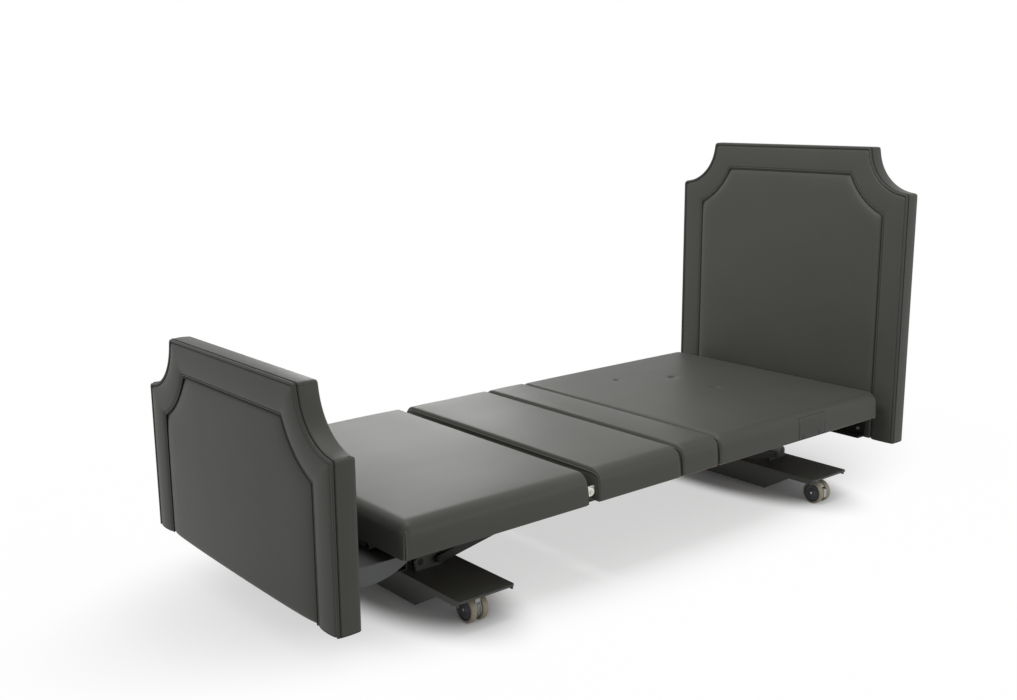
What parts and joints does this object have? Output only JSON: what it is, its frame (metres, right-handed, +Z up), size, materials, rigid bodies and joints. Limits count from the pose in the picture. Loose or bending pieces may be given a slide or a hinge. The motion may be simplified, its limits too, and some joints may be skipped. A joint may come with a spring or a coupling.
{
  "type": "adjustable hospital bed",
  "caption": "Padded hi-lo adjustable bed: upholstered four-section deck, padded end boards with cut corners, two rolling lift bases with twin-wheel casters.",
  "frame": {"origin": "centre of the bed's footprint on the floor", "axes": "+Y from the foot end to the head end, +X to the side on the right when looking from the foot to the head, +Z up"},
  "size_m": [1.016, 2.376, 1.181],
  "materials": {
    "upholstery": "satin",
    "plywood": "matte",
    "frame_paint": "satin",
    "bracket_paint": "satin",
    "bright_steel": "satin",
    "drive_plastic": "matte",
    "rubber": "matte",
    "caster_grey": "satin",
    "caster_wheel": "satin"
  },
  "bodies": {
    "head_base": {"head_base": "frame_paint", "head_base_pins": "bright_steel"},
    "head_arm": {"head_lift_arm": "frame_paint"},
    "head_tie": {"head_tie_links": "frame_paint"},
    "deck_frame": {"main_frame": "frame_paint", "rest_bumpers": "rubber", "frame_pivot_pins": "bright_steel", "control_box": "drive_plastic", "back_drive": "drive_plastic", "knee_drive": "drive_plastic", "head_lift_drive": "drive_plastic", "foot_lift_drive": "drive_plastic", "head_bracket": "frame_paint", "foot_bracket": "bracket_paint", "board_bolts": "bright_steel", "headboard_core": "plywood", "headboard_border": "upholstery", "headboard_inset": "upholstery", "footboard_core": "plywood", "footboard_border": "upholstery", "footboard_inset": "upholstery", "seat_panel": "plywood", "seat_pad": "upholstery"},
    "foot_arm": {"foot_lift_arm": "frame_paint"},
    "foot_tie": {"foot_tie_links": "frame_paint"},
    "foot_base": {"foot_base": "frame_paint", "foot_base_pins": "bright_steel"},
    "head_lift_rod": {"head_lift_rod": "bright_steel"},
    "foot_lift_rod": {"foot_lift_rod": "bright_steel"},
    "back_section": {"back_frame": "frame_paint", "back_panel": "plywood", "back_pad": "upholstery"},
    "back_rod": {"back_rod": "bright_steel"},
    "thigh_section": {"thigh_frame": "frame_paint", "thigh_panel": "plywood", "thigh_pad": "upholstery", "thigh_hinge_leaves": "frame_paint"},
    "calf_section": {"calf_frame": "frame_paint", "calf_panel": "plywood", "calf_pad": "upholstery", "calf_hinge_leaves": "frame_paint"},
    "knee_rod": {"knee_rod": "bright_steel"},
    "foot_left_caster": {"foot_left_caster_hood": "caster_grey", "foot_left_caster_pins": "bright_steel"},
    "foot_left_caster_wheel_a": {"foot_left_caster_wheel_a": "caster_wheel"},
    "foot_left_caster_wheel_b": {"foot_left_caster_wheel_b": "caster_wheel"},
    "foot_right_caster": {"foot_right_caster_hood": "caster_grey", "foot_right_caster_pins": "bright_steel"},
    "foot_right_caster_wheel_a": {"foot_right_caster_wheel_a": "caster_wheel"},
    "foot_right_caster_wheel_b": {"foot_right_caster_wheel_b": "caster_wheel"},
    "head_left_caster": {"head_left_caster_hood": "caster_grey", "head_left_caster_pins": "bright_steel"},
    "head_left_caster_wheel_a": {"head_left_caster_wheel_a": "caster_wheel"},
    "head_left_caster_wheel_b": {"head_left_caster_wheel_b": "caster_wheel"},
    "head_left_caster_brake": {"head_left_caster_brake_pedal": "caster_grey"},
    "head_right_caster": {"head_right_caster_hood": "caster_grey", "head_right_caster_pins": "bright_steel"},
    "head_right_caster_wheel_a": {"head_right_caster_wheel_a": "caster_wheel"},
    "head_right_caster_wheel_b": {"head_right_caster_wheel_b": "caster_wheel"},
    "head_right_caster_brake": {"head_right_caster_brake_pedal": "caster_grey"}
  },
  "joints": [
    {"name": "bed_height", "type": "hinge", "parent": "head_base", "child": "head_arm", "pos_m": [0, 0.812, 0.11799], "axis": [-1, 0, 0], "range_deg": [0, 52]},
    {"name": "deck_level", "type": "hinge", "parent": "head_arm", "child": "deck_frame", "pos_m": [0, 0.36954, 0.2], "axis": [1, 0, 0], "range_deg": [0, 52]},
    {"name": "head_tie_swing", "type": "hinge", "parent": "head_base", "child": "head_tie", "pos_m": [0, 0.757, 0.11799], "axis": [-1, 0, 0], "range_deg": [0, 52]},
    {"name": "foot_arm_swing", "type": "hinge", "parent": "deck_frame", "child": "foot_arm", "pos_m": [0, -0.32954, 0.2], "axis": [1, 0, 0], "range_deg": [0, 52]},
    {"name": "foot_base_level", "type": "hinge", "parent": "foot_arm", "child": "foot_base", "pos_m": [0, -0.772, 0.11799], "axis": [-1, 0, 0], "range_deg": [0, 52]},
    {"name": "foot_tie_swing", "type": "hinge", "parent": "deck_frame", "child": "foot_tie", "pos_m": [0, -0.27453, 0.2], "axis": [1, 0, 0], "range_deg": [0, 52]},
    {"name": "head_lift_stroke", "type": "slide", "parent": "deck_frame", "child": "head_lift_rod", "axis": [0, -1, 0], "range_m": [0, 0.07366]},
    {"name": "foot_lift_stroke", "type": "slide", "parent": "deck_frame", "child": "foot_lift_rod", "axis": [0, 1, 0], "range_m": [0, 0.07366]},
    {"name": "back_raise", "type": "hinge", "parent": "deck_frame", "child": "back_section", "pos_m": [0, 0.238, 0.304], "axis": [1, 0, 0], "range_deg": [0, 60]},
    {"name": "back_stroke", "type": "slide", "parent": "deck_frame", "child": "back_rod", "axis": [0, 1, 0], "range_m": [0, 0.13214]},
    {"name": "knee_raise", "type": "hinge", "parent": "deck_frame", "child": "thigh_section", "pos_m": [0, 0.009, 0.304], "axis": [-1, 0, 0], "range_deg": [0, 35]},
    {"name": "calf_fold", "type": "hinge", "parent": "thigh_section", "child": "calf_section", "pos_m": [0, -0.326, 0.272], "axis": [1, 0, 0], "range_deg": [0, 54]},
    {"name": "knee_stroke", "type": "slide", "parent": "deck_frame", "child": "knee_rod", "axis": [0, -1, 0], "range_m": [0, 0.07239]},
    {"name": "foot_left_caster_swivel", "type": "hinge", "parent": "foot_base", "child": "foot_left_caster", "pos_m": [0.455, -0.734, 0.06], "axis": [0, 0, 1], "continuous": true},
    {"name": "foot_left_caster_wheel_a_roll", "type": "hinge", "parent": "foot_left_caster", "child": "foot_left_caster_wheel_a", "pos_m": [0.44, -0.734, 0.0375], "axis": [0, 1, 0], "continuous": true},
    {"name": "foot_left_caster_wheel_b_roll", "type": "hinge", "parent": "foot_left_caster", "child": "foot_left_caster_wheel_b", "pos_m": [0.44, -0.734, 0.0375], "axis": [0, 1, 0], "continuous": true},
    {"name": "foot_right_caster_swivel", "type": "hinge", "parent": "foot_base", "child": "foot_right_caster", "pos_m": [-0.455, -0.734, 0.06], "axis": [0, 0, 1], "continuous": true},
    {"name": "foot_right_caster_wheel_a_roll", "type": "hinge", "parent": "foot_right_caster", "child": "foot_right_caster_wheel_a", "pos_m": [-0.44, -0.734, 0.0375], "axis": [0, 1, 0], "continuous": true},
    {"name": "foot_right_caster_wheel_b_roll", "type": "hinge", "parent": "foot_right_caster", "child": "foot_right_caster_wheel_b", "pos_m": [-0.44, -0.734, 0.0375], "axis": [0, 1, 0], "continuous": true},
    {"name": "head_left_caster_swivel", "type": "hinge", "parent": "head_base", "child": "head_left_caster", "pos_m": [0.455, 0.733, 0.06], "axis": [0, 0, 1], "continuous": true},
    {"name": "head_left_caster_wheel_a_roll", "type": "hinge", "parent": "head_left_caster", "child": "head_left_caster_wheel_a", "pos_m": [0.47, 0.733, 0.0375], "axis": [0, 1, 0], "continuous": true},
    {"name": "head_left_caster_wheel_b_roll", "type": "hinge", "parent": "head_left_caster", "child": "head_left_caster_wheel_b", "pos_m": [0.47, 0.733, 0.0375], "axis": [0, 1, 0], "continuous": true},
    {"name": "head_left_caster_brake_press", "type": "hinge", "parent": "head_left_caster", "child": "head_left_caster_brake", "pos_m": [0.497, 0.733, 0.05], "axis": [0, 1, 0], "range_deg": [0, 8]},
    {"name": "head_right_caster_swivel", "type": "hinge", "parent": "head_base", "child": "head_right_caster", "pos_m": [-0.455, 0.733, 0.06], "axis": [0, 0, 1], "continuous": true},
    {"name": "head_right_caster_wheel_a_roll", "type": "hinge", "parent": "head_right_caster", "child": "head_right_caster_wheel_a", "pos_m": [-0.47, 0.733, 0.0375], "axis": [0, 1, 0], "continuous": true},
    {"name": "head_right_caster_wheel_b_roll", "type": "hinge", "parent": "head_right_caster", "child": "head_right_caster_wheel_b", "pos_m": [-0.47, 0.733, 0.0375], "axis": [0, 1, 0], "continuous": true},
    {"name": "head_right_caster_brake_press", "type": "hinge", "parent": "head_right_caster", "child": "head_right_caster_brake", "pos_m": [-0.497, 0.733, 0.05], "axis": [0, -1, 0], "range_deg": [0, 8]}
  ],
  "couplings": [
    {"joint": "deck_level", "follows": "bed_height", "ratio": 1},
    {"joint": "head_tie_swing", "follows": "bed_height", "ratio": 1},
    {"joint": "foot_arm_swing", "follows": "bed_height", "ratio": 1},
    {"joint": "foot_base_level", "follows": "bed_height", "ratio": 1},
    {"joint": "foot_tie_swing", "follows": "bed_height", "ratio": 1},
    {"joint": "head_lift_stroke", "follows": "bed_height", "m_per_rad": 0.080611},
    {"joint": "foot_lift_stroke", "follows": "bed_height", "m_per_rad": 0.080611},
    {"joint": "back_stroke", "follows": "back_raise", "m_per_rad": 0.1257},
    {"joint": "calf_fold", "follows": "knee_raise", "ratio": 1.5275},
    {"joint": "knee_stroke", "follows": "knee_raise", "m_per_rad": 0.11768}
  ]
}
